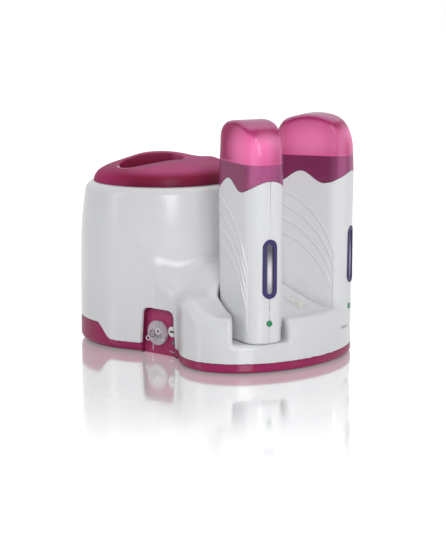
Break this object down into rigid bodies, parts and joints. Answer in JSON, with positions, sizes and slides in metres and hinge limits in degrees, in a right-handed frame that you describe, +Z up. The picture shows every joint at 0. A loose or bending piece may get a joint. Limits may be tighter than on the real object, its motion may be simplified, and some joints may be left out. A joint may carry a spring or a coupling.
{
  "type": "wax heater",
  "caption": "Combination depilatory wax heater: lidded barrel for a wax tin joined to an oval dock in which capped roll-on cartridge heaters stand, with dial, button and switch.",
  "frame": {"origin": "under the middle of the whole heater, on the surface that it stands on", "axes": "+X from the barrel to the dock, -Y is the side with the thermostat, +Z up"},
  "size_m": [0.283, 0.194, 0.228],
  "materials": {
    "white_shell": "glossy white moulded plastic",
    "handset_white": "glossy white moulded plastic",
    "raspberry_shell": "satin raspberry moulded plastic",
    "raspberry_lid": "glossy raspberry, faintly translucent",
    "rubber": "matt black rubber",
    "steel": "bright plated steel",
    "pale_plastic": "satin pale grey plastic",
    "aluminium": "spun aluminium",
    "felt": "needled heat-proof felt",
    "black_plastic": "matt black plastic",
    "lamp_grey": "smoked lens",
    "circuit_board": "green circuit board",
    "brass": "plated brass",
    "clear_knob": "clear moulded plastic",
    "knob_core": "mauve-grey plastic",
    "button_white": "glossy white plastic",
    "cream_plastic": "cream plastic",
    "collar_mauve": "dull mauve plastic seen through the cap",
    "ceramic": "ceramic heater",
    "green_lens": "green lens",
    "navy_plastic": "satin navy plastic",
    "window_clear": "clear window",
    "clear_pink": "clear pink plastic"
  },
  "bodies": {
    "housing": {"base_pan": "raspberry_shell", "feet": "rubber", "base_screws": "steel", "barrel_shell": "white_shell", "dock_shell": "white_shell", "front_pocket": "white_shell", "rear_pocket": "white_shell", "rim_ring": "pale_plastic", "wax_well": "aluminium", "band_heater": "steel", "heat_sleeve": "felt", "thermal_fuse": "steel", "thermostat": "black_plastic", "button_switch": "black_plastic", "panel_lamp": "lamp_grey", "terminal_block": "pale_plastic", "supply_board": "circuit_board", "mains_inlet": "black_plastic", "inlet_pins": "brass", "rocker_frame": "pale_plastic", "front_contact_block": "black_plastic", "rear_contact_block": "black_plastic", "front_dock_pins": "brass", "rear_dock_pins": "brass"},
    "lid": {"lid": "raspberry_lid", "lid_skirt": "raspberry_lid"},
    "dial": {"dial_knob": "clear_knob", "dial_core": "knob_core", "dial_spindle": "brass"},
    "button": {"push_button": "button_white"},
    "rocker_switch": {"rocker": "cream_plastic"},
    "front_handset": {"front_outer_half": "handset_white", "front_inner_half": "handset_white", "front_collar": "collar_mauve", "front_chamber": "aluminium", "front_heater": "ceramic", "front_board": "circuit_board", "front_led": "green_lens", "front_bezel": "navy_plastic", "front_lens": "window_clear", "front_pads": "brass", "front_screws": "steel"},
    "front_handset_cap": {"front_cap": "clear_pink"},
    "rear_handset": {"rear_outer_half": "handset_white", "rear_inner_half": "handset_white", "rear_collar": "collar_mauve", "rear_chamber": "aluminium", "rear_heater": "ceramic", "rear_board": "circuit_board", "rear_led": "green_lens", "rear_bezel": "navy_plastic", "rear_lens": "window_clear", "rear_pads": "brass", "rear_screws": "steel"},
    "rear_handset_cap": {"rear_cap": "clear_pink"}
  },
  "joints": [
    {"name": "lid_lift", "type": "slide", "parent": "housing", "child": "lid", "axis": [0, 0, 1], "range_m": [0, 0.08]},
    {"name": "dial_turn", "type": "hinge", "parent": "housing", "child": "dial", "pos_m": [-0.0033, -0.0645, 0.0213], "axis": [0, 1, 0], "range_deg": [0, 240]},
    {"name": "button_press", "type": "slide", "parent": "housing", "child": "button", "axis": [0, 1, 0], "range_m": [0, 0.0015], "stiffness_N_per_m": 500},
    {"name": "rocker_tip", "type": "hinge", "parent": "housing", "child": "rocker_switch", "pos_m": [0.1055, 0.0065, 0.05403], "axis": [0, 1, 0], "range_deg": [0, 16]},
    {"name": "front_handset_lift", "type": "slide", "parent": "housing", "child": "front_handset", "axis": [0, 0, 1], "range_m": [0, 0.12]},
    {"name": "front_cap_lift", "type": "slide", "parent": "front_handset", "child": "front_handset_cap", "axis": [0, 0, 1], "range_m": [0, 0.05]},
    {"name": "rear_handset_lift", "type": "slide", "parent": "housing", "child": "rear_handset", "axis": [0, 0, 1], "range_m": [0, 0.12]},
    {"name": "rear_cap_lift", "type": "slide", "parent": "rear_handset", "child": "rear_handset_cap", "axis": [0, 0, 1], "range_m": [0, 0.05]}
  ]
}
